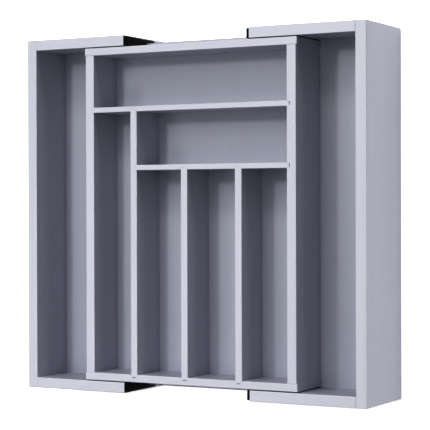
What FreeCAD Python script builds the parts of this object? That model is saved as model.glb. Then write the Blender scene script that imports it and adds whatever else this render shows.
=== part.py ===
import FreeCAD, Part
import math
import os

# An expanding cutlery tray: a centre tray with six slots, between two side trays that draw out.
# X runs across the tray, the way the side trays draw out, Y runs from front to back and Z is up.
# The origin lies under the middle of the tray, on the surface that it stands on.
# The tray is modelled drawn right out, with its rails' stop blocks against the end plates.

# Overall sizes
tray_depth = 433.0
tray_height = 102.0
drawn_width = 459.0
centre_width = 288.0

# Boards
end_board = 13.5
arm_board = 13.0
left_arm_overlap = 56.0
right_arm_overlap = 61.5
centre_board = 9.4
side_board = 12.0
side_setback = 1.2
long_divider = 9.2
cross_divider = 6.75
base_panel = 4.0
edge_round = 0.8

# Slots of the centre tray, between the faces of the boards
long_slot = 52.0
first_slot = 60.7
second_slot = 63.3
back_slot = 63.2
middle_slot = 64.0

# Depth of the side trays below the rim, and height of the centre base panel above its walls' feet
side_slot_depth = 65.0
centre_base_lip = 8.0

# Running clearances between the centre tray and the side trays
slide_gap = 0.8
riding_gap = 0.5
stop_gap = 0.3

# Fixed joints: panels in grooves, dividers in housings, and the clearance on each face
panel_groove = 5.0
centre_groove = 4.0
divider_let_in = 2.0
divider_tongue = 3.2
tongue_board = 4.0
tongue_end_gap = 0.7
fit = 0.1

# Rails along the centre tray's front and back walls, and the grooves in the arms that take them
guide_drop = 52.0
guide_depth = 8.0
rail_height = 5.0
rail_seat = 3.0
rail_inset = 4.0
rail_play = 0.4
rail_face_gap = 1.0
rail_stop_height = 8.0
rail_stop_length = 6.0

# Black plates on the arms' tips, which the rails' stop blocks come up against, and their screws
stop_plate = 3.0
stop_height = 68.0
stop_inset = 1.5
stop_round = 1.5
screw_diameter = 3.0
screw_head = 6.0
screw_head_depth = 1.5
screw_length = 18.0
screw_tip = 3.0
screw_drop = 14.0
screw_pitch = 24.0
recess_width = 4.0
recess_slot = 0.9
recess_depth = 0.8

# Glued dowels in the butt joints
dowel_diameter = 6.0
dowel_length = 24.0
end_board_hold = 8.0
centre_board_hold = 6.0
dowel_inset = 16.0
dowel_chamfer = 0.6

# Levels along X, outwards from the middle
half_centre = centre_width / 2
side_outer = half_centre - side_setback
side_inner = side_outer - side_board
end_outer = drawn_width / 2
end_inner = end_outer - end_board
rail_end = half_centre - rail_inset

# Levels along Y, outwards from the middle
arm_outer = tray_depth / 2
arm_inner = arm_outer - arm_board
arm_middle = (arm_outer + arm_inner) / 2
wall_outer = arm_inner - slide_gap
wall_inner = wall_outer - centre_board
rail_outer = arm_inner + guide_depth - rail_face_gap

# Levels along Z
side_floor = tray_height - side_slot_depth
side_base_under = side_floor - base_panel
centre_foot = side_floor + riding_gap
centre_base_under = centre_foot + centre_base_lip
centre_floor = centre_base_under + base_panel
guide_level = tray_height - guide_drop

tray_sides = {"left": -1, "right": 1}
wall_sides = {"front": -1, "back": 1}
arm_tips = {-1: half_centre - left_arm_overlap, 1: half_centre - right_arm_overlap}
cross_dividers = ("back_divider", "middle_divider")
same_place = 0.01


def block(x_span, y_span, z_span):
    """A box between two values along each axis, given in either order."""
    low = FreeCAD.Vector(min(x_span), min(y_span), min(z_span))
    high = FreeCAD.Vector(max(x_span), max(y_span), max(z_span))
    size = high - low
    return Part.makeBox(size.x, size.y, size.z, low)


def span_from(start, width):
    """The span from a face of a board to its other face."""
    return (start, start + width)


def grown(span, margin):
    """A span with a margin added at both ends."""
    return (min(span) - margin, max(span) + margin)


def eased(board, bare_sides):
    """Round the edges where two bare sides of a board meet, as sanding before paint leaves them."""
    box = board.BoundBox
    faces = {
        "-x": ("x", box.XMin), "+x": ("x", box.XMax),
        "-y": ("y", box.YMin), "+y": ("y", box.YMax),
        "+z": ("z", box.ZMax),
    }

    def lies_on(edge, side):
        axis, level = faces[side]
        return abs(getattr(edge.CenterOfMass, axis) - level) < same_place

    rounded = []
    for edge in board.Edges:
        if sum(lies_on(edge, side) for side in bare_sides) == 2:
            rounded.append(edge)
    return board.makeFillet(edge_round, rounded)


def flat_distance(first, second):
    """The distance between two points in plan."""
    return math.hypot(first.x - second.x, first.y - second.y)


def peg(start, direction, length, diameter, chamfer):
    """A round peg with chamfered ends."""
    cylinder = Part.makeCylinder(diameter / 2, length, start, direction)
    rims = [edge for edge in cylinder.Edges if edge.Closed]
    return cylinder.makeChamfer(chamfer, rims)


def hole(start, direction, length, diameter):
    """The space that a peg of this diameter needs."""
    return Part.makeCylinder(diameter / 2 + fit, length, start, direction)


# Centre tray

def divider_spans():
    """Where each divider stands between its neighbours, as its span along X and along Y.

    A divider is pushed home at its left or back end. Its other end, which the span names last, has
    the play.
    """
    long_x = span_from(-side_inner + long_slot, long_divider)
    left_x = span_from(long_x[1] + first_slot, long_divider)
    right_x = span_from(left_x[1] + second_slot, long_divider)
    back_y = span_from(wall_inner - back_slot, -cross_divider)
    middle_y = span_from(back_y[1] - middle_slot, -cross_divider)
    return {
        "back_divider": ((-side_inner, side_inner), back_y),
        "middle_divider": ((long_x[1], side_inner), middle_y),
        "long_slot_divider": (long_x, (back_y[1], -wall_inner)),
        "left_slot_divider": (left_x, (middle_y[1], -wall_inner)),
        "right_slot_divider": (right_x, (middle_y[1], -wall_inner)),
    }


def divider_ends(name, spans, top, margin, end_gap):
    """Both ends of a divider, as far as they are let in: the whole board, then a narrow tongue."""
    across = name in cross_dividers
    run, width = spans if across else spans[::-1]
    way = 1 if run[1] > run[0] else -1
    tongue = grown((sum(width) / 2, sum(width) / 2), tongue_board / 2 + margin)
    ends = []
    for face, out, gap in ((run[0], -way, margin), (run[1], way, end_gap)):
        for span, reach in ((grown(width, margin), divider_let_in + margin), (tongue, divider_tongue + gap)):
            length = (face - out * margin, face + out * reach)
            x_span, y_span = (length, span) if across else (span, length)
            ends.append(block(x_span, y_span, (centre_floor, top)))
    return ends


def divider_housings(spans):
    """The upright housings that each divider's ends drop into, open at the rim."""
    top = tray_height + edge_round
    return {name: divider_ends(name, place, top, fit, tongue_end_gap) for name, place in spans.items()}


def dividers(spans, housings):
    """The five dividers: each stands on the base panel, with its ends let into its neighbours."""
    boards = {}
    for name, (x_span, y_span) in spans.items():
        faces = ("-y", "+y") if name in cross_dividers else ("-x", "+x")
        board = eased(block(x_span, y_span, (centre_floor, tray_height)), ("+z", *faces))
        ends = divider_ends(name, spans[name], tray_height, 0, 0)
        boards[name] = board.fuse(ends).removeSplitter()
    boards["back_divider"] = boards["back_divider"].cut(housings["long_slot_divider"])
    boards["long_slot_divider"] = boards["long_slot_divider"].cut(housings["middle_divider"])
    front_housings = housings["left_slot_divider"] + housings["right_slot_divider"]
    boards["middle_divider"] = boards["middle_divider"].cut(front_housings)
    return boards


def centre_base_spans():
    """The centre base panel, as far as it reaches into its grooves."""
    half_x = side_inner + centre_groove
    half_y = wall_inner + centre_groove
    return ((-half_x, half_x), (-half_y, half_y), (centre_base_under, centre_floor))


def centre_base():
    """The panel that the centre tray's slots stand on."""
    x_span, y_span, z_span = centre_base_spans()
    return block(grown(x_span, -fit), grown(y_span, -fit), z_span)


def centre_base_groove():
    """The groove for the centre base panel, cut round all four walls."""
    x_span, y_span, z_span = centre_base_spans()
    return block(x_span, y_span, grown(z_span, fit))


def rail_span(height, margin):
    """The span along Z of something that lies in line with the rails, with a margin."""
    return grown((guide_level, guide_level), height / 2 + margin)


def guide_rail(y_side):
    """A rail that stands out of the front or back wall, with a stop block in each arm's groove."""
    y_span = (y_side * (wall_outer - rail_seat), y_side * rail_outer)
    rail = block((-rail_end, rail_end), y_span, rail_span(rail_height, 0))
    stops = []
    for side in tray_sides.values():
        x_span = span_from(side * (arm_tips[side] + stop_gap), side * rail_stop_length)
        stop_y = (y_side * arm_inner, y_side * rail_outer)
        stops.append(block(x_span, stop_y, rail_span(rail_stop_height, 0)))
    return rail.fuse(stops).removeSplitter()


def rail_groove(y_side):
    """The stopped groove in the front or back wall that a rail is glued into."""
    y_span = (y_side * (wall_outer - rail_seat - fit), y_side * (wall_outer + fit))
    return block(grown((-rail_end, rail_end), fit), y_span, rail_span(rail_height, fit))


def centre_dowel_starts():
    """The outer end of each dowel in the corners of the centre tray, and the way it runs in."""
    starts = []
    for x_side in tray_sides.values():
        for y_side in wall_sides.values():
            for z in (centre_floor + dowel_inset, tray_height - dowel_inset):
                x = x_side * (side_outer + side_inner) / 2
                start = FreeCAD.Vector(x, y_side * (wall_inner + centre_board_hold), z)
                starts.append((start, FreeCAD.Vector(0, -y_side, 0)))
    return starts


def dowels(starts):
    """A set of glued dowels."""
    return [peg(start, way, dowel_length, dowel_diameter, dowel_chamfer) for start, way in starts]


def dowel_holes(starts):
    """The holes for a set of dowels, in both boards of each joint."""
    return [hole(start, way, dowel_length, dowel_diameter) for start, way in starts]


def centre_walls(housings):
    """Front and back walls over the whole width, with the side walls set between them."""
    z_span = (centre_foot, tray_height)
    walls = {}
    for name, side in wall_sides.items():
        y_span = (side * wall_inner, side * wall_outer)
        board = block((-half_centre, half_centre), y_span, z_span)
        walls[f"centre_{name}_wall"] = eased(board, ("+z", "-x", "+x", "-y", "+y"))
    for name, side in tray_sides.items():
        x_span = (side * side_inner, side * side_outer)
        board = block(x_span, (-wall_inner, wall_inner), z_span)
        walls[f"centre_{name}_wall"] = eased(board, ("+z", "-x", "+x"))
    cutters = [centre_base_groove(), *dowel_holes(centre_dowel_starts())]
    cutters += [rail_groove(y_side) for y_side in wall_sides.values()]
    for ends in housings.values():
        cutters += ends
    return {name: wall.cut(cutters) for name, wall in walls.items()}


# Side trays

def side_base_spans(side):
    """A side tray's base panel, as far as it reaches into its grooves."""
    half_y = arm_inner + panel_groove
    x_span = (side * arm_tips[side], side * (end_inner + panel_groove))
    return (x_span, (-half_y, half_y), (side_base_under, side_floor))


def side_base(side):
    """The panel that closes a side tray below, and slides under the centre tray."""
    x_span, y_span, z_span = side_base_spans(side)
    shortened = (x_span[0], x_span[1] - side * fit)
    return block(shortened, grown(y_span, -fit), z_span)


def side_base_groove(side):
    """The groove for a side tray's base panel, open at the tips of the arms."""
    x_span, y_span, z_span = side_base_spans(side)
    return block(x_span, y_span, grown(z_span, fit))


def arm_dowel_starts(side):
    """The outer end of each dowel that holds an arm to its end board: below the base, and by the rim."""
    starts = []
    for y_side in wall_sides.values():
        for z in (side_base_under / 2, tray_height - dowel_inset):
            start = FreeCAD.Vector(side * (end_inner + end_board_hold), y_side * arm_middle, z)
            starts.append((start, FreeCAD.Vector(-side, 0, 0)))
    return starts


def end_wall(side):
    """The outer end of a side tray, as wide as the whole tray."""
    board = block((side * end_inner, side * end_outer), (-arm_outer, arm_outer), (0, tray_height))
    rounded = eased(board, ("+z", "-x", "+x", "-y", "+y"))
    return rounded.cut([side_base_groove(side), *dowel_holes(arm_dowel_starts(side))])


def guide_space(y_side, x_span, height):
    """The space along an arm in which something of this height runs."""
    y_span = (y_side * arm_inner, y_side * (arm_inner + guide_depth))
    return block(x_span, y_span, rail_span(height, rail_play))


def screw_form(side, start, margin):
    """A countersunk screw that runs outwards into the tip of an arm, with a margin all round."""
    radius = screw_diameter / 2 + margin
    head_radius = screw_head / 2 + margin
    outline = [
        (0, 0), (0, head_radius), (screw_head_depth, radius),
        (screw_length - screw_tip, radius), (screw_length + margin, 0), (0, 0),
    ]
    points = [start + FreeCAD.Vector(side * along, out, 0) for along, out in outline]
    face = Part.Face(Part.makePolygon(points))
    return face.revolve(start, FreeCAD.Vector(1, 0, 0), 360)


def screw_starts(side, y_side):
    """The middle of the head of each screw, both above the rail."""
    x = side * (arm_tips[side] - stop_plate)
    levels = span_from(tray_height - screw_drop, -screw_pitch)
    return [FreeCAD.Vector(x, y_side * arm_middle, z) for z in levels]


def stop_screw(side, start):
    """One stop screw, with its cross recess."""
    x_span = (start.x - side * fit, start.x + side * recess_depth)
    slots = []
    for y_width, z_width in ((recess_slot, recess_width), (recess_width, recess_slot)):
        y_span = grown((start.y, start.y), y_width / 2)
        z_span = grown((start.z, start.z), z_width / 2)
        slots.append(block(x_span, y_span, z_span))
    return screw_form(side, start, 0).cut(slots)


def screw_spaces(side, y_side):
    """The countersunk holes for one stop's screws."""
    return [screw_form(side, start, fit) for start in screw_starts(side, y_side)]


def arm(side, y_side):
    """An arm of a side tray, grooved for its base panel and for the rail with its stop block."""
    x_span = (side * arm_tips[side], side * end_inner)
    board = block(x_span, (y_side * arm_inner, y_side * arm_outer), (0, tray_height))
    guide = guide_space(y_side, x_span, rail_stop_height)
    cutters = [side_base_groove(side), guide]
    cutters += dowel_holes(arm_dowel_starts(side))
    cutters += screw_spaces(side, y_side)
    return eased(board, ("+z", "-y", "+y")).cut(cutters)


def end_stop(side, y_side):
    """A black plate over the tip of an arm, with a slot that only the plain rail passes through."""
    x_span = span_from(side * arm_tips[side], -side * stop_plate)
    y_span = (y_side * arm_inner, y_side * (arm_outer - stop_inset))
    inner_face = "-y" if y_side > 0 else "+y"
    plate = eased(block(x_span, y_span, (tray_height - stop_height, tray_height)), ("+z", inner_face))
    outer_corner = FreeCAD.Vector(x_span[1], y_span[1], 0)
    upright = [edge for edge in plate.Edges if flat_distance(edge.CenterOfMass, outer_corner) < same_place]
    slot = guide_space(y_side, x_span, rail_height)
    return plate.makeFillet(stop_round, upright).cut([slot, *screw_spaces(side, y_side)])


def centre_tray():
    """All the pieces of the centre tray by name."""
    spans = divider_spans()
    housings = divider_housings(spans)
    return {
        "centre_base": centre_base(),
        **centre_walls(housings),
        **dividers(spans, housings),
        "front_rail": guide_rail(wall_sides["front"]),
        "back_rail": guide_rail(wall_sides["back"]),
        "centre_dowels": Part.makeCompound(dowels(centre_dowel_starts())),
    }


def side_tray(name, side):
    """All the pieces of one side tray by name."""
    pieces = {
        f"{name}_end_wall": end_wall(side),
        f"{name}_base": side_base(side),
        f"{name}_dowels": Part.makeCompound(dowels(arm_dowel_starts(side))),
    }
    screws = []
    for place, y_side in wall_sides.items():
        pieces[f"{name}_{place}_arm"] = arm(side, y_side)
        pieces[f"{name}_{place}_end_stop"] = end_stop(side, y_side)
        screws += [stop_screw(side, start) for start in screw_starts(side, y_side)]
    pieces[f"{name}_stop_screws"] = Part.makeCompound(screws)
    return pieces


nodes = centre_tray()
for tray_name, tray_side in tray_sides.items():
    nodes.update(side_tray(tray_name, tray_side))

os.makedirs("parts", exist_ok=True)
for node, shape in nodes.items():
    shape.exportStep(f"parts/{node}.step")
    print(node, len(shape.Solids), shape.isValid(), round(shape.Volume))
print("side tray travel", round(end_inner - half_centre, 3))
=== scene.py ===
# %% [markdown]
# # An expanding cutlery tray in painted wood
# The tray has a centre part with six slots, and two side trays that draw out along it. This lesson
# dresses its construction model: the boards get their paint, and the small parts that hold the
# tray together (end plates, screws and dowels) are modelled again with the detail of real ones.
# Everything is in metres, with X across the tray, Y from front to back and Z up.

import math

import bmesh
import bpy
from mathutils import Matrix, Vector


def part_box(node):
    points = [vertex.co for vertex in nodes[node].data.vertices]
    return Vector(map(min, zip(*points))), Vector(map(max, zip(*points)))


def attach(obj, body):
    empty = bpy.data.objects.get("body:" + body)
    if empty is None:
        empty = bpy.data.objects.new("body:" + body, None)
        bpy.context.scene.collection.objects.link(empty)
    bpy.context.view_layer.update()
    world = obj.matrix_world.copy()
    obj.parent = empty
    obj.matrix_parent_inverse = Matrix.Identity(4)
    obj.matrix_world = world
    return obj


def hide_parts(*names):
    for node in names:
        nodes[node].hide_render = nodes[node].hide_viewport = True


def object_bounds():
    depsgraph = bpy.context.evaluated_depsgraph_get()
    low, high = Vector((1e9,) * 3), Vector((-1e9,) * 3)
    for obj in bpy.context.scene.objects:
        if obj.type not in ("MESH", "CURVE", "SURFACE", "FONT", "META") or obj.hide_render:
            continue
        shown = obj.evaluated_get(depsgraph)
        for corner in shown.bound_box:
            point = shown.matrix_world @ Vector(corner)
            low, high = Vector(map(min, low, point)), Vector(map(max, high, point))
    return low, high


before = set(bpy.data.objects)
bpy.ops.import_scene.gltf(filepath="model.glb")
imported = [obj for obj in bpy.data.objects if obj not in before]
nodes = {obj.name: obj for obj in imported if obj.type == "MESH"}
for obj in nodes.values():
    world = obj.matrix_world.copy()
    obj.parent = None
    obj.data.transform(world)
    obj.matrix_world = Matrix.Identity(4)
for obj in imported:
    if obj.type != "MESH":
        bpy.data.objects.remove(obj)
cad_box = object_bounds()
mm = 0.001
print("pieces in the model:", len(nodes))
print("whole tray in mm:", [round(side / mm, 1) for side in cad_box[1] - cad_box[0]])

# %% [markdown]
# ## Camera
# The picture is taken from above the right end of the tray, with a long lens, so that the sides
# stay almost parallel. A camera with no turn looks straight down with Y up in the picture. Turning
# it about Y, and moving it out to the right, gives this view. The last two angles are those of a hand
# that doesn't hold the camera quite level. They come before the turn, so the order of the three is set.
# The sensor and the lens are in millimetres, as on a real camera.

# %% Camera
camera_place = Vector((0.9130, 0.0102, 1.6937))
camera_turn = math.radians(28.81)
camera_nod = math.radians(-0.35)
camera_roll = math.radians(-0.155)
camera_sensor = 36.0
camera_lens = 130.09

camera_data = bpy.data.cameras.new("camera")
camera_data.sensor_width = camera_sensor
camera_data.lens = camera_lens
camera = bpy.data.objects.new("camera", camera_data)
camera.location = camera_place
camera.rotation_mode = "ZXY"
camera.rotation_euler = (camera_nod, camera_turn, camera_roll)
bpy.context.scene.collection.objects.link(camera)
bpy.context.scene.camera = camera
print("camera stands", round(camera_place.length, 2), "m away")

# %% [markdown]
# ## Shader values
# A painted surface needs many small sums: streaks plus specks, less the worn edges. Adding each Math
# node by name is hard to read. Here a small class wraps the output of a node, so that an ordinary
# expression such as `1 - worn * 0.5` adds the nodes by itself. The reflected forms, such as
# `__rsub__`, serve a plain number on the left.

# %% Shader values
class Value:
    """The output of a node. Sums with it add Math nodes."""

    def __init__(self, socket):
        self.socket = socket

    def math(self, operation, first, second):
        tree = self.socket.id_data
        node = tree.nodes.new("ShaderNodeMath")
        node.operation = operation
        for place, term in enumerate((first, second)):
            put(tree, node.inputs[place], term)
        return Value(node.outputs[0])

    def __add__(self, other):
        return self.math("ADD", self, other)

    def __radd__(self, other):
        return self.math("ADD", other, self)

    def __sub__(self, other):
        return self.math("SUBTRACT", self, other)

    def __rsub__(self, other):
        return self.math("SUBTRACT", other, self)

    def __mul__(self, other):
        return self.math("MULTIPLY", self, other)

    def __rmul__(self, other):
        return self.math("MULTIPLY", other, self)

    def larger(self, other):
        return self.math("MAXIMUM", self, other)


def put(tree, socket, term):
    """Set a socket to a plain value, or link it to a wrapped one."""
    if isinstance(term, Value):
        tree.links.new(term.socket, socket)
    else:
        socket.default_value = term


print("sums that add nodes:", [name for name in vars(Value) if name.endswith(("add__", "sub__", "mul__"))])

# %% [markdown]
# ## Finishes
# A material can be wired by hand in the node editor, but its numbers are then spread over many nodes.
# A second class holds one material under way. One method adds any node from its type, its settings
# and its inputs. A few short ones give what the finishes of this tray use most: a blend of two colours,
# a smooth step and the closing shader.

# %% Finishes
mix_first = 6
mix_second = 7
mix_result = 2


class Finish:
    """A material under way, with one method that adds any node."""

    def __init__(self, name):
        self.material = bpy.data.materials.new(name)
        self.material.use_nodes = True
        self.tree = self.material.node_tree
        self.tree.nodes.clear()

    def add(self, kind, settings=None, inputs=None, output=0):
        """Add a node: its settings first, then the values or links of its sockets."""
        node = self.tree.nodes.new("ShaderNode" + kind)
        for name, setting in (settings or {}).items():
            setattr(node, name, setting)
        for name, term in (inputs or {}).items():
            put(self.tree, node.inputs[name], term)
        return Value(node.outputs[output])

    def mix(self, factor, first, second):
        """Blend two colours, by the places of a Mix node's colour sockets."""
        inputs = {"Factor": factor, mix_first: first, mix_second: second}
        return self.add("Mix", {"data_type": "RGBA"}, inputs, output=mix_result)

    def step(self, value, low, high):
        """0 below low, 1 above high, and smooth between them."""
        inputs = {"Value": value, "From Min": low, "From Max": high}
        return self.add("MapRange", {"interpolation_type": "SMOOTHSTEP"}, inputs)

    def surface(self, **inputs):
        """Close the material with a Principled shader."""
        named = {name.replace("_", " "): term for name, term in inputs.items()}
        shader = self.add("BsdfPrincipled", None, named)
        output = self.tree.nodes.new("ShaderNodeOutputMaterial")
        self.tree.links.new(shader.socket, output.inputs["Surface"])
        return self.material


print("a finish can:", [name for name in vars(Finish) if not name.startswith("_")])

# %% [markdown]
# ## Grain and edges
# Two patterns come back in several finishes. Wood grain is noise that is drawn out along the board: a
# Mapping node gives it a small scale along and a large one across. The rounded edges of a piece are
# where its normal leans away from all three axes, so no part of the normal comes near to 1 there.

# %% Grain and edges
axis_turns = {"x": (0.0, 0.0, 0.0), "y": (0.0, 0.0, math.radians(90.0))}


def grain_noise(finish, place, along, across, detail, seed):
    """Noise drawn out along X. The two scales count its features in a metre."""
    shift = (seed, seed, seed)
    scale = (along, across, across)
    stretched = finish.add("Mapping", None, {"Vector": place, "Location": shift, "Scale": scale})
    return finish.add("TexNoise", None, {"Vector": stretched, "Scale": 1.0, "Detail": detail})


def rounded_edges(finish):
    """1 on the rounded edges of a piece, and 0 on its flats."""
    normal = finish.add("NewGeometry", output="Normal")
    sizes = finish.add("VectorMath", {"operation": "ABSOLUTE"}, {0: normal})
    parts = [finish.add("SeparateXYZ", None, {"Vector": sizes}, output=axis) for axis in "XYZ"]
    largest = parts[0].larger(parts[1]).larger(parts[2])
    return finish.step(1.0 - largest, low=0.02, high=0.2)


print("turn of the grain in degrees:", {axis: math.degrees(turn[2]) for axis, turn in axis_turns.items()})

# %% [markdown]
# ## Painted wood
# The boards are sprayed a pale lavender grey, with a satin paint thin enough to show the grain as
# fine streaks along each board. One grain gives the streaks, a coarser one the cloudy change of
# shade, and a third the pores. The tops of the boards get a paler colour, which is painted light
# for the light that falls on them: the height in the model marks them. The rounded edges are
# rubbed a little rougher.

# %% Painted wood
paint_pale = (0.60, 0.61, 0.675, 1.0)
paint_deep = (0.58, 0.59, 0.655, 1.0)
# Painted light: a paler colour for the tops of the boards, where the most light falls.
painted_top_light = (0.715, 0.727, 0.793, 1.0)
rim_level = cad_box[1].z
top_light_band = 0.5 * mm
top_light_cover = 0.85
streak_share = 0.6
pore_shade = 0.35
pore_relief = 0.6
satin_roughness = 0.40
streak_roughness = 0.14
worn_roughness = 0.10
grain_strength = 0.12
grain_depth = 0.25 * mm


def painted_wood(name, axis, pale, deep):
    """Satin paint over boards whose grain runs along one axis."""
    finish = Finish(name)
    place = finish.add("TexCoord", output="Object")
    turned = finish.add("Mapping", None, {"Vector": place, "Rotation": axis_turns[axis]})
    streaks = grain_noise(finish, turned, along=9.0, across=520.0, detail=4.0, seed=3.1)
    clouds = grain_noise(finish, turned, along=4.0, across=34.0, detail=2.0, seed=7.7)
    pits = grain_noise(finish, turned, along=60.0, across=1500.0, detail=1.0, seed=5.3)
    pores = finish.step(pits, low=0.62, high=0.74)
    specks = finish.add("TexNoise", None, {"Vector": place, "Scale": 190.0, "Detail": 3.0})
    worn = rounded_edges(finish) * finish.step(specks, low=0.42, high=0.68)
    height = finish.add("SeparateXYZ", None, {"Vector": place}, output="Z")
    # The mask for the painted light: everything within half a millimetre of the top of the tray.
    top_light_mask = finish.step(height, low=rim_level - top_light_band, high=rim_level)

    depth = finish.step(streak_share * streaks + (1.0 - streak_share) * clouds, low=0.34, high=0.66)
    painted = finish.mix(depth, deep, pale)
    shaded = finish.mix(pore_shade * pores, painted, deep)
    # The tops take the paler colour of the painted light, with a little of the grain left in it.
    colour = finish.mix(top_light_mask * (top_light_cover + (1.0 - top_light_cover) * depth), shaded, painted_top_light)
    rough = satin_roughness + streak_roughness * streaks + worn_roughness * worn
    relief = streaks - pore_relief * pores
    bump = finish.add("Bump", None, {"Strength": grain_strength, "Distance": grain_depth, "Height": relief})
    return finish.surface(Base_Color=colour, Roughness=rough, Normal=bump)


board_finish = {
    axis: painted_wood(f"painted_wood_along_{axis}", axis, paint_pale, paint_deep) for axis in "xy"
}
print("board finishes:", [material.name for material in board_finish.values()])

# %% [markdown]
# ## Paint on the boards
# Each board keeps its shape from the construction model and only gets its finish. The grain follows
# the long side of the board, so the script compares the two sides of its box.

# %% Paint the boards
board_words = ("wall", "divider", "arm", "rail")


def dress(node, material):
    """Put one material on every slot of a piece of the model."""
    for slot in nodes[node].material_slots:
        slot.material = material


def long_axis(node):
    """The axis that a board is longest along."""
    low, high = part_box(node)
    size = high - low
    return "x" if size.x > size.y else "y"


boards = [name for name in nodes if name.split("_")[-1] in board_words]
for name in boards:
    dress(name, board_finish[long_axis(name)])
print("painted boards:", len(boards))

# %% [markdown]
# ## Base panels
# The bases are thin sheets with the same paint. Their grain runs from front to back. The paint hides
# it a little better on the sheet than on solid wood, so the two shades lie closer together.

# %% Paint the base panels
panel_pale = (0.595, 0.61, 0.672, 1.0)
panel_deep = (0.582, 0.595, 0.657, 1.0)

panel_finish = painted_wood("painted_panel", "y", panel_pale, panel_deep)
panels = [name for name in nodes if name.endswith("_base")]
for name in panels:
    dress(name, panel_finish)
print("painted panels:", panels)

# %% [markdown]
# ## Tools for modelling
# The small parts are modelled as by hand: a primitive at its size and place, then edit mode.
# Operators act on all that is selected, so each step first selects what it needs, by place or by
# normal. A finished piece has its place in its mesh, so the place of each new object is applied.

# %% Tools for modelling
same_place = 0.01 * mm


def take(piece):
    """Make one object the only selected one."""
    bpy.ops.object.select_all(action="DESELECT")
    piece.select_set(True)
    bpy.context.view_layer.objects.active = piece


def pick(piece, kind, test):
    """In edit mode, select only the VERT, EDGE or FACE items that pass a test."""
    bpy.ops.mesh.select_mode(type=kind)
    bpy.ops.mesh.select_all(action="DESELECT")
    mesh = bmesh.from_edit_mesh(piece.data)
    items = {"VERT": mesh.verts, "EDGE": mesh.edges, "FACE": mesh.faces}[kind]
    for item in items:
        if test(item):
            item.select_set(True)
    mesh.select_flush_mode()
    bmesh.update_edit_mesh(piece.data)


def near(first, second):
    """True where two lengths are the same, but for rounding."""
    return abs(first - second) < same_place


def all_near(item, axis, level):
    """True where every corner of an edge or a face lies at one level along an axis."""
    return all(near(corner.co[axis], level) for corner in item.verts)


def apply_place(piece):
    """Move an object's place, turn and size into its mesh."""
    take(piece)
    bpy.ops.object.transform_apply(location=True, rotation=True, scale=True)


def box_piece(name, low, high):
    """A cube primitive between two corners."""
    bpy.ops.object.select_all(action="DESELECT")
    middle, size = (low + high) / 2, high - low
    bpy.ops.mesh.primitive_cube_add(size=1.0, location=middle, scale=size)
    piece = bpy.context.object
    piece.name = name
    apply_place(piece)
    return piece


print("lengths count as the same within", same_place / mm, "mm")

# %% [markdown]
# ## Cut, copy and join
# A slot or a hole is cut with a Boolean modifier, which takes one shape out of another. What repeats is
# modelled once and copied, each copy with its own mesh. A mirrored copy turns inside out, so its normals
# are flipped back.

# %% Cut, copy and join
def cut_away(piece, cutter):
    """Take one shape out of another with a Boolean modifier, and delete the cutter."""
    take(piece)
    modifier = piece.modifiers.new("cut", "BOOLEAN")
    modifier.operation = "DIFFERENCE"
    modifier.solver = "EXACT"
    modifier.object = cutter
    bpy.ops.object.modifier_apply(modifier=modifier.name)
    bpy.data.objects.remove(cutter)


def copy_piece(piece, name, matrix):
    """A copy with its own mesh, set in place inside the mesh."""
    copy = piece.copy()
    copy.data = piece.data.copy()
    copy.name = name
    bpy.context.scene.collection.objects.link(copy)
    copy.data.transform(matrix)
    if matrix.determinant() < 0:
        copy.data.flip_normals()
    return copy


def joined(name, pieces):
    """Several objects as one."""
    bpy.ops.object.select_all(action="DESELECT")
    for piece in pieces:
        piece.select_set(True)
    bpy.context.view_layer.objects.active = pieces[0]
    bpy.ops.object.join()
    pieces[0].name = name
    return pieces[0]


print("more tools:", [tool.__name__ for tool in (cut_away, copy_piece, joined)])

# %% [markdown]
# ## Where the model has its fasteners
# All the screws or dowels of a tray are one piece of the model, with several solids in it. Their places
# could be typed in again, but they are safer read from the model: a copy of the mesh is merged, and
# each solid is what can be reached along its edges. A Python set has no order that stays from run to
# run, so the solids are sorted by their place, and every run turns and cuts them alike.

# %% Find the solids
merge_distance = 0.001 * mm


def box_order(box):
    """The lowest corner of a box in hundredths of a millimetre, to sort by."""
    return [round(side / mm, 2) for side in box[0]]


def solid_boxes(node):
    """The lowest and highest corner of each separate solid in a piece of the model, sorted by place."""
    mesh = bmesh.new()
    mesh.from_mesh(nodes[node].data)
    bmesh.ops.remove_doubles(mesh, verts=mesh.verts, dist=merge_distance)
    waiting, boxes = set(mesh.verts), []
    while waiting:
        reached, island = [waiting.pop()], []
        while reached:
            corner = reached.pop()
            island.append(corner.co.copy())
            beside = {edge.other_vert(corner) for edge in corner.link_edges} & waiting
            waiting -= beside
            reached += beside
        low = Vector(min(place[axis] for place in island) for axis in range(3))
        high = Vector(max(place[axis] for place in island) for axis in range(3))
        boxes.append((low, high))
    mesh.free()
    return sorted(boxes, key=box_order)


for node in ("centre_dowels", "left_stop_screws"):
    print(node, "solids:", len(solid_boxes(node)))

# %% [markdown]
# ## Screws
# Eight small countersunk screws hold the plates to the ends of the arms. One is modelled along X with
# its head at the origin. It could be turned from a profile with Spin, but extruding a flat disc keeps
# its ends closed: the disc is drawn out into the cone of the head, the core and the tip.

# %% Model the body of a screw
hole_room = 0.1 * mm
screw_low, screw_high = solid_boxes("right_stop_screws")[0]
screw_length = screw_high.x - screw_low.x
head_radius = (screw_high.y - screw_low.y) / 2 - hole_room
head_edge = 0.15 * mm
head_depth = 1.5 * mm
core_radius = 1.1 * mm
tip_length = 3.0 * mm
tip_share = 0.08
round_sides = 32
along_x = (0.0, math.radians(90.0), 0.0)


def extrude_end(piece, level, advance, widen):
    """Draw out the end face at one level along X, and resize it."""
    pick(piece, "FACE", lambda face: all_near(face, 0, level))
    bpy.ops.mesh.extrude_region_move(TRANSFORM_OT_translate={"value": (advance, 0.0, 0.0)})
    bpy.ops.transform.resize(
        value=(1.0, widen, widen), center_override=(level + advance, 0.0, 0.0)
    )
    return level + advance


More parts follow.
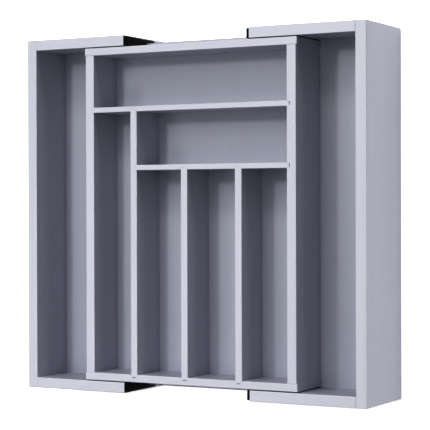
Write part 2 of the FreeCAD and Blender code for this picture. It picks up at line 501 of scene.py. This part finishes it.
def screw_body():
    """Head, core and tip, from a flat disc."""
    bpy.ops.object.select_all(action="DESELECT")
    bpy.ops.mesh.primitive_cylinder_add(
        vertices=round_sides, radius=head_radius, depth=head_edge,
        location=(head_edge / 2, 0.0, 0.0), rotation=along_x,
    )
    body = bpy.context.object
    apply_place(body)
    bpy.ops.object.mode_set(mode="EDIT")
    level = extrude_end(body, head_edge, head_depth - head_edge, core_radius / head_radius)
    level = extrude_end(body, level, screw_length - tip_length - level, 1.0)
    extrude_end(body, level, tip_length, tip_share)
    bpy.ops.object.mode_set(mode="OBJECT")
    return body


screw = screw_body()
print("screw in mm: length", round(screw_length / mm, 1), "head", round(2 * head_radius / mm, 1))

# %% [markdown]
# ## Thread and cross
# The thread is a ridge that winds round the core. A Screw modifier does just that to a small triangle,
# and the two open ends are then filled. The head has a cross for the driver: two slots, cut one after the
# other.

# %% Add the thread and cut the cross
thread_radius = 1.45 * mm
thread_pitch = 1.3 * mm
thread_start = 3.0 * mm
thread_turns = 9
winding_steps = 20
ridge_radius = 0.35 * mm
ridge_sides = 3
cross_width = 4.0 * mm
cross_slot = 0.9 * mm
cross_depth = 0.8 * mm


def screw_thread():
    """A three-sided ridge, wound round X by a Screw modifier and closed at both ends."""
    bpy.ops.object.select_all(action="DESELECT")
    place = (thread_start, thread_radius - ridge_radius, 0.0)
    bpy.ops.mesh.primitive_circle_add(vertices=ridge_sides, radius=ridge_radius, location=place)
    thread = bpy.context.object
    apply_place(thread)
    winding = thread.modifiers.new("winding", "SCREW")
    winding.axis = "X"
    winding.screw_offset = thread_pitch
    winding.iterations = thread_turns
    winding.steps = winding.render_steps = winding_steps
    bpy.ops.object.modifier_apply(modifier=winding.name)
    bpy.ops.object.mode_set(mode="EDIT")
    bpy.ops.mesh.select_all(action="SELECT")
    bpy.ops.mesh.fill_holes(sides=ridge_sides)
    bpy.ops.mesh.normals_make_consistent(inside=False)
    bpy.ops.object.mode_set(mode="OBJECT")
    return thread


for y_size, z_size in ((cross_slot, cross_width), (cross_width, cross_slot)):
    reach = Vector((cross_depth, y_size / 2, z_size / 2))
    start = Vector((-cross_depth, -y_size / 2, -z_size / 2))
    cut_away(screw, box_piece("cross_slot", start, reach))
screw = joined("screw", [screw, screw_thread()])
print("one screw has", len(screw.data.polygons), "faces")

# %% [markdown]
# ## Black steel
# The screws are blackened in a bath, which leaves the steel dark, half matt and a little blotched. Noise
# gives the blotches, which vary both the shade and the gloss, and a grain drawn out along the screw
# gives the fine scratches of the tool that cut it.

# %% Black steel
steel_deep = (0.012, 0.013, 0.016, 1.0)
steel_pale = (0.045, 0.046, 0.05, 1.0)
steel_roughness = 0.32
blotch_roughness = 0.22
scratch_strength = 0.1
scratch_depth = 0.05 * mm


def black_steel():
    """Blackened steel: dark, half matt, with a bluish cast and fine scratches."""
    finish = Finish("black_steel")
    place = finish.add("TexCoord", output="Object")
    blotches = finish.add("TexNoise", None, {"Vector": place, "Scale": 900.0, "Detail": 3.0})
    scratches = grain_noise(finish, place, along=200.0, across=9000.0, detail=2.0, seed=2.2)
    colour = finish.mix(blotches, steel_deep, steel_pale)
    rough = steel_roughness + blotch_roughness * blotches
    relief = {"Strength": scratch_strength, "Distance": scratch_depth, "Height": scratches}
    bump = finish.add("Bump", None, relief)
    return finish.surface(Base_Color=colour, Roughness=rough, Normal=bump, Metallic=0.85)


steel = black_steel()
print("screw finish:", steel.name)

# %% [markdown]
# ## Place the screws
# Each screw is copied to where the model has it, with its head on the plate and its tip in the arm.
# The left screws point the other way. A screwdriver stops at any angle, so each cross is turned by a
# different amount.

# %% Place the screws
turn_step = math.radians(37.0)
crease_angle = math.radians(35.0)
tray_directions = {"left": -1, "right": 1}


def set_screws(tray, direction):
    """All the screws of one side tray, as one piece."""
    copies = []
    for count, (low, high) in enumerate(solid_boxes(f"{tray}_stop_screws")):
        head = (low + high) / 2
        head.x = low.x if direction > 0 else high.x
        driven = Matrix.Rotation(turn_step * (count + 1), 4, "X")
        facing = Matrix.Rotation(0.0 if direction > 0 else math.pi, 4, "Z")
        matrix = Matrix.Translation(head) @ facing @ driven
        copies.append(copy_piece(screw, f"{tray}_screw_{count}", matrix))
    piece = joined(f"{tray}_countersunk_screws", copies)
    bpy.ops.object.shade_smooth_by_angle(angle=crease_angle)
    return piece


for tray, direction in tray_directions.items():
    screws = set_screws(tray, direction)
    screws.data.materials.append(steel)
    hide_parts(f"{tray}_stop_screws")
    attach(screws, f"{tray}_tray")
    print(screws.name, "faces:", len(screws.data.polygons))
bpy.data.objects.remove(screw)

# %% [markdown]
# ## End plates
# A black plate closes the end of each arm. Its slot lets the rail of the centre tray through, but not
# the block on the rail, so the side tray can't be pulled off. The plate starts as a cube. Its two
# upper corners are rounded like the arm, and its outer edge is rounded so that it doesn't catch. The
# slot is cut with a Boolean, and then the sharp edges of its front are eased, as a mould leaves them.

# %% Model one end plate
stop_low, stop_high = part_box("right_back_end_stop")
rail_low, rail_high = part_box("back_rail")
rail_level = (rail_low.z + rail_high.z) / 2
plate_thickness = stop_high.x - stop_low.x
slot_half_height = 2.9 * mm
slot_reach = 8.0 * mm
corner_round = 0.8 * mm
outer_round = 1.5 * mm
round_segments = 6
moulded_edge = 0.3 * mm
moulded_segments = 2
sharp_angle = math.radians(60.0)


def slotted_plate():
    """The plate without its screw holes."""
    plate = box_piece("stop", stop_low, stop_high)
    bpy.ops.object.mode_set(mode="EDIT")
    pick(plate, "EDGE", lambda edge: all_near(edge, 2, stop_high.z)
         and near(edge.calc_length(), plate_thickness))
    bpy.ops.mesh.bevel(offset=corner_round, segments=round_segments, affect="EDGES")
    pick(plate, "EDGE", lambda edge: all_near(edge, 0, stop_low.x) and all_near(edge, 1, stop_high.y))
    bpy.ops.mesh.bevel(offset=outer_round, segments=round_segments, affect="EDGES")
    bpy.ops.object.mode_set(mode="OBJECT")
    past = Vector((plate_thickness, slot_reach, 0.0))
    slot_low = Vector((stop_low.x, stop_low.y, rail_level - slot_half_height)) - past
    slot_high = Vector((stop_high.x, stop_low.y, rail_level + slot_half_height)) + past
    cut_away(plate, box_piece("rail_slot", slot_low, slot_high))
    take(plate)
    bpy.ops.object.mode_set(mode="EDIT")
    pick(plate, "EDGE", lambda edge: all_near(edge, 0, stop_low.x) and len(edge.link_faces) == 2
         and edge.calc_face_angle(0.0) > sharp_angle)
    bpy.ops.mesh.bevel(offset=moulded_edge, segments=moulded_segments, affect="EDGES")
    bpy.ops.object.mode_set(mode="OBJECT")
    return plate


stop = slotted_plate()
print("the slotted plate has", len(stop.data.polygons), "faces")

# %% [markdown]
# ## Screw holes
# Each plate has two countersunk holes. A cutter is modelled like the screw itself: a cylinder, drawn out
# to a cone for the head and then to a straight shank, a little wider than the screw.

# %% Cut the screw holes
def countersink(place):
    """A cutter for one screw hole: a cone for the head on a round shank."""
    bpy.ops.object.select_all(action="DESELECT")
    wide = head_radius + hole_room
    narrow = (thread_radius + hole_room) / wide
    bpy.ops.mesh.primitive_cylinder_add(
        vertices=round_sides, radius=wide, depth=head_depth,
        location=place - Vector((head_depth / 2, 0.0, 0.0)), rotation=along_x,
    )
    cutter = bpy.context.object
    apply_place(cutter)
    bpy.ops.object.mode_set(mode="EDIT")
    pick(cutter, "FACE", lambda face: all_near(face, 0, place.x))
    for advance, widen in ((head_depth, narrow), (plate_thickness, 1.0)):
        bpy.ops.mesh.extrude_region_move(TRANSFORM_OT_translate={"value": (advance, 0.0, 0.0)})
        bpy.ops.transform.resize(value=(1.0, widen, widen), center_override=place)
    bpy.ops.object.mode_set(mode="OBJECT")
    return cutter


for low, high in solid_boxes("right_stop_screws"):
    middle = (low + high) / 2
    if middle.y > 0:
        cut_away(stop, countersink(Vector((low.x, middle.y, middle.z))))
print("one end plate has", len(stop.data.polygons), "faces")

# %% [markdown]
# ## Black plastic
# The plates are moulded in matt black plastic. Very fine noise gives the texture that the mould leaves
# on it, a coarser one a trace of dust, and the eased edges are rubbed a little shinier.

# %% Black plastic
plastic_deep = (0.004, 0.004, 0.005, 1.0)
plastic_dusty = (0.010, 0.010, 0.011, 1.0)
matt_roughness = 0.58
texture_roughness = 0.12
edge_polish = 0.15
texture_strength = 0.25
texture_depth = 0.05 * mm


def black_plastic():
    """Matt black moulded plastic with a fine texture and rubbed edges."""
    finish = Finish("black_plastic")
    place = finish.add("TexCoord", output="Object")
    texture = finish.add("TexNoise", None, {"Vector": place, "Scale": 2600.0, "Detail": 2.0})
    dust = finish.add("TexNoise", None, {"Vector": place, "Scale": 120.0, "Detail": 4.0})
    edges = rounded_edges(finish)
    colour = finish.mix(finish.step(dust, low=0.45, high=0.8), plastic_deep, plastic_dusty)
    rough = matt_roughness + texture_roughness * texture - edge_polish * edges
    relief = {"Strength": texture_strength, "Distance": texture_depth, "Height": texture}
    bump = finish.add("Bump", None, relief)
    return finish.surface(Base_Color=colour, Roughness=rough, Normal=bump)


plastic = black_plastic()
print("plate finish:", plastic.name)

# %% [markdown]
# ## Place the end plates
# The four plates are the same moulding, mirrored for the front and for the left. Each copy is first
# moved to the origin, then mirrored there, and then set where the model has its plate.

# %% Place the end plates
wall_directions = {"front": -1, "back": 1}


def box_middle(node):
    """The middle of a piece's box in the model."""
    low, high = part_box(node)
    return (low + high) / 2


to_origin = Matrix.Translation(-box_middle("right_back_end_stop"))
for tray, x_way in tray_directions.items():
    for wall, y_way in wall_directions.items():
        mirror = Matrix.Diagonal((x_way, y_way, 1.0, 1.0))
        matrix = Matrix.Translation(box_middle(f"{tray}_{wall}_end_stop")) @ mirror @ to_origin
        moulding = copy_piece(stop, f"{tray}_{wall}_stop_moulding", matrix)
        moulding.data.materials.append(plastic)
        take(moulding)
        bpy.ops.object.shade_smooth_by_angle(angle=crease_angle)
        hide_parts(f"{tray}_{wall}_end_stop")
        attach(moulding, f"{tray}_tray")
        print(moulding.name, "faces:", len(moulding.data.polygons))
bpy.data.objects.remove(stop)

# %% [markdown]
# ## Beech
# The dowels are bare beech: warm, even wood, with the short dark flecks that mark it. The streaks and the
# flecks are both grain, and the flecks are the few spots where a much finer one is strongest.

# %% Beech
beech_deep = (0.50, 0.32, 0.17, 1.0)
beech_pale = (0.70, 0.50, 0.31, 1.0)
beech_fleck = (0.30, 0.16, 0.08, 1.0)
fleck_shade = 0.6
beech_roughness = 0.55
beech_streak_roughness = 0.2
beech_strength = 0.2
beech_depth = 0.1 * mm


def beech(name, axis):
    """Bare beech: warm, even wood with short dark flecks along the grain."""
    finish = Finish(name)
    place = finish.add("TexCoord", output="Object")
    turned = finish.add("Mapping", None, {"Vector": place, "Rotation": axis_turns[axis]})
    streaks = grain_noise(finish, turned, along=30.0, across=900.0, detail=4.0, seed=1.3)
    spots = grain_noise(finish, turned, along=330.0, across=2600.0, detail=1.0, seed=8.1)
    flecks = finish.step(spots, low=0.62, high=0.72)
    wood = finish.mix(streaks, beech_deep, beech_pale)
    colour = finish.mix(fleck_shade * flecks, wood, beech_fleck)
    rough = beech_roughness + beech_streak_roughness * streaks
    relief = {"Strength": beech_strength, "Distance": beech_depth, "Height": streaks - flecks}
    bump = finish.add("Bump", None, relief)
    return finish.surface(Base_Color=colour, Roughness=rough, Normal=bump)


beech_along = {axis: beech(f"beech_along_{axis}", axis) for axis in "xy"}
print("dowel finishes:", [material.name for material in beech_along.values()])

# %% [markdown]
# ## Dowels
# Glued beech dowels hold the corners together. A dowel has flutes along it, which let the air and the
# spare glue out of the hole, and chamfered ends. It starts as a cylinder with three corners to each
# flute: one of the three is drawn in towards the axis to make the flutes, and the two ends are extruded
# to a smaller size.

# %% Model a dowel
flutes = 16
flute_floor = 0.9
flute_slack = 0.1
end_chamfer = 0.6 * mm
end_shrink = 0.82


def in_flute(corner):
    """True for the corners at the floor of a flute."""
    turn = math.atan2(corner.co.z, corner.co.y) / math.tau * flutes
    return abs(turn - round(turn)) < flute_slack


def fluted_dowel(length, radius):
    """One dowel along X, with its middle at the origin."""
    bpy.ops.object.select_all(action="DESELECT")
    bpy.ops.mesh.primitive_cylinder_add(
        vertices=3 * flutes, radius=radius, depth=length - 2 * end_chamfer, rotation=along_x
    )
    dowel = bpy.context.object
    apply_place(dowel)
    bpy.ops.object.mode_set(mode="EDIT")
    pick(dowel, "VERT", in_flute)
    bpy.ops.transform.resize(value=(1.0, flute_floor, flute_floor), center_override=(0.0, 0.0, 0.0))
    for end in (-1, 1):
        extrude_end(dowel, end * (length / 2 - end_chamfer), end * end_chamfer, end_shrink)
    bpy.ops.object.mode_set(mode="OBJECT")
    return dowel


print("flutes on a dowel:", flutes)

# %% [markdown]
# ## Place the dowels
# The dowels of the centre tray run from front to back, and those of the side trays run across. The size
# of a dowel and the place of each copy are read from the model.

# %% Place the dowels
dowel_axes = {"centre": "y", "left": "x", "right": "x"}
flute_crease = math.radians(20.0)


def set_dowels(node, name, axis):
    """All the dowels of one node, as one piece."""
    boxes = solid_boxes(node)
    size = boxes[0][1] - boxes[0][0]
    dowel = fluted_dowel(max(size), min(size) / 2)
    turn = Matrix.Rotation(axis_turns[axis][2], 4, "Z")
    copies = []
    for count, (low, high) in enumerate(boxes):
        matrix = Matrix.Translation((low + high) / 2) @ turn
        copies.append(copy_piece(dowel, f"{name}_{count}", matrix))
    bpy.data.objects.remove(dowel)
    piece = joined(name, copies)
    bpy.ops.object.shade_smooth_by_angle(angle=flute_crease)
    piece.data.materials.append(beech_along[axis])
    return piece


for tray, axis in dowel_axes.items():
    dowels = set_dowels(f"{tray}_dowels", f"{tray}_fluted_dowels", axis)
    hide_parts(f"{tray}_dowels")
    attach(dowels, f"{tray}_tray")
    print(dowels.name, "faces:", len(dowels.data.polygons))

# %% [markdown]
# ## White sweep
# The tray stands on a pale sweep that glows a little, as on a light table, so that it stays white right
# up to the boards. It is one large plane, a hair below the tray, and belongs to the stage, not to the
# tray.

# %% White sweep
sweep_half = 6.0
under_tray = 0.2 * mm
sweep_white = (0.97, 0.97, 0.97, 1.0)
sweep_roughness = 0.9
glow_white = (1.0, 1.0, 1.0, 1.0)
glow_strength = 0.54

bpy.ops.object.select_all(action="DESELECT")
bpy.ops.mesh.primitive_plane_add(size=2 * sweep_half, location=(0.0, 0.0, -under_tray))
sweep = bpy.context.object
sweep.name = "sweep"
sweep.data.materials.append(
    Finish("sweep_white").surface(
        Base_Color=sweep_white,
        Roughness=sweep_roughness,
        Emission_Color=glow_white,
        Emission_Strength=glow_strength,
    )
)
print("sweep in m:", 2 * sweep_half)

# %% [markdown]
# ## Lamps
# Most light comes from the left and the back: some from so far away that it is even over the whole
# tray, and some from round soft boxes that reach down into the slots. A small lamp high at the back left
# gives the shadows along the walls an edge. A weak lamp low at the back right lights only the upper part
# of the faces that look that way, and the rest of them stays in shade.

# %% Lamps
tray_middle = Vector((0.0, 0.0, 0.08))
far_lamp_width = math.radians(14.0)
lamp_white = (1.0, 0.99, 0.962)


def add_lamp(name, kind, power, direction):
    """A lamp that shines along a direction."""
    lamp = bpy.data.lights.new(name, kind)
    lamp.energy = power
    lamp.color = lamp_white
    stand = bpy.data.objects.new(name, lamp)
    stand.rotation_euler = direction.to_track_quat("-Z", "Y").to_euler()
    bpy.context.scene.collection.objects.link(stand)
    return stand


def soft_box(name, place, diameter, power):
    """A round soft box that faces the tray."""
    stand = add_lamp(name, "AREA", power, tray_middle - Vector(place))
    stand.location = place
    stand.data.shape = "DISK"
    stand.data.size = diameter


def far_lamp(name, bearing, height, power):
    """Light from far away, given by its bearing from +X and its height above the floor, in degrees."""
    turn, rise = math.radians(bearing), math.radians(height)
    flat = Vector((math.cos(turn), math.sin(turn), 0.0))
    stand = add_lamp(name, "SUN", power, -(flat * math.cos(rise) + Vector((0.0, 0.0, math.sin(rise)))))
    stand.data.angle = far_lamp_width


soft_box("corner_lamp", place=(-0.45, 0.55, 1.8), diameter=0.2, power=6.4)
soft_box("back_box", place=(-0.2, 0.9, 1.7), diameter=0.7, power=4.8)
soft_box("right_box", place=(0.5, 0.2, 1.7), diameter=0.7, power=2.7)
soft_box("near_left_box", place=(-0.35, -0.25, 0.8), diameter=0.35, power=1.03)
soft_box("near_right_box", place=(0.35, -0.25, 0.8), diameter=0.35, power=0.50)
far_lamp("far_corner", bearing=135.0, height=45.0, power=0.42)
far_lamp("far_back", bearing=90.0, height=45.0, power=0.54)
far_lamp("far_right", bearing=45.0, height=10.0, power=0.44)

# %% [markdown]
# ## Fill and display
# The lamps are a warm white, and the even fill from all round is cooler, so the shade turns a little
# blue. A lower display gamma deepens that shade, as prints of studio pictures often do.

# %% Fill and display
fill_white = (0.985, 0.99, 1.0, 1.0)
fill_strength = 0.29
display_gamma = 0.5

world = bpy.data.worlds.new("studio")
world.use_nodes = True
background = world.node_tree.nodes["Background"]
background.inputs["Color"].default_value = fill_white
background.inputs["Strength"].default_value = fill_strength
bpy.context.scene.world = world
bpy.context.scene.view_settings.view_transform = "Standard"
bpy.context.scene.view_settings.gamma = display_gamma
print("fill:", fill_strength, "display gamma:", display_gamma)

# %% [markdown]
